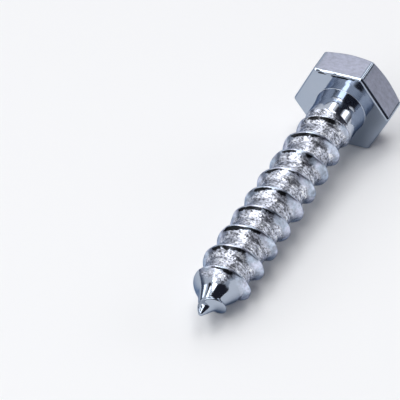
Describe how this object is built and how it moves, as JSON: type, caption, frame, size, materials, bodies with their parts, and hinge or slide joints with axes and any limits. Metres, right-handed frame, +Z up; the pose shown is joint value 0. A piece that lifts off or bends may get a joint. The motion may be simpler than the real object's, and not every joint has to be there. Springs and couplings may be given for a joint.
{
  "type": "lag screw",
  "caption": "Zinc-plated lag screw with a chamfered hexagon head, short plain shank, coarse right-hand wood thread and a gimlet point, lying on its head edge and thread.",
  "frame": {"origin": "on the surface it lies on, under the middle of its bounding box", "axes": "+Z up from the surface; the screw lies along X in the plane y = 0, head at -X and point at +X, its axis tipped down towards the point by the angle at which the head's lower edge and one thread crest touch the surface; one head flat faces straight up"},
  "size_m": [0.0596, 0.0184, 0.0163],
  "materials": {
    "zinc_plated_steel": "bright zinc plating, smooth on the head, shank and point, finely pitted between the thread ridges"
  },
  "bodies": {
    "root": {"lag_screw": "zinc_plated_steel"}
  },
  "joints": []
}
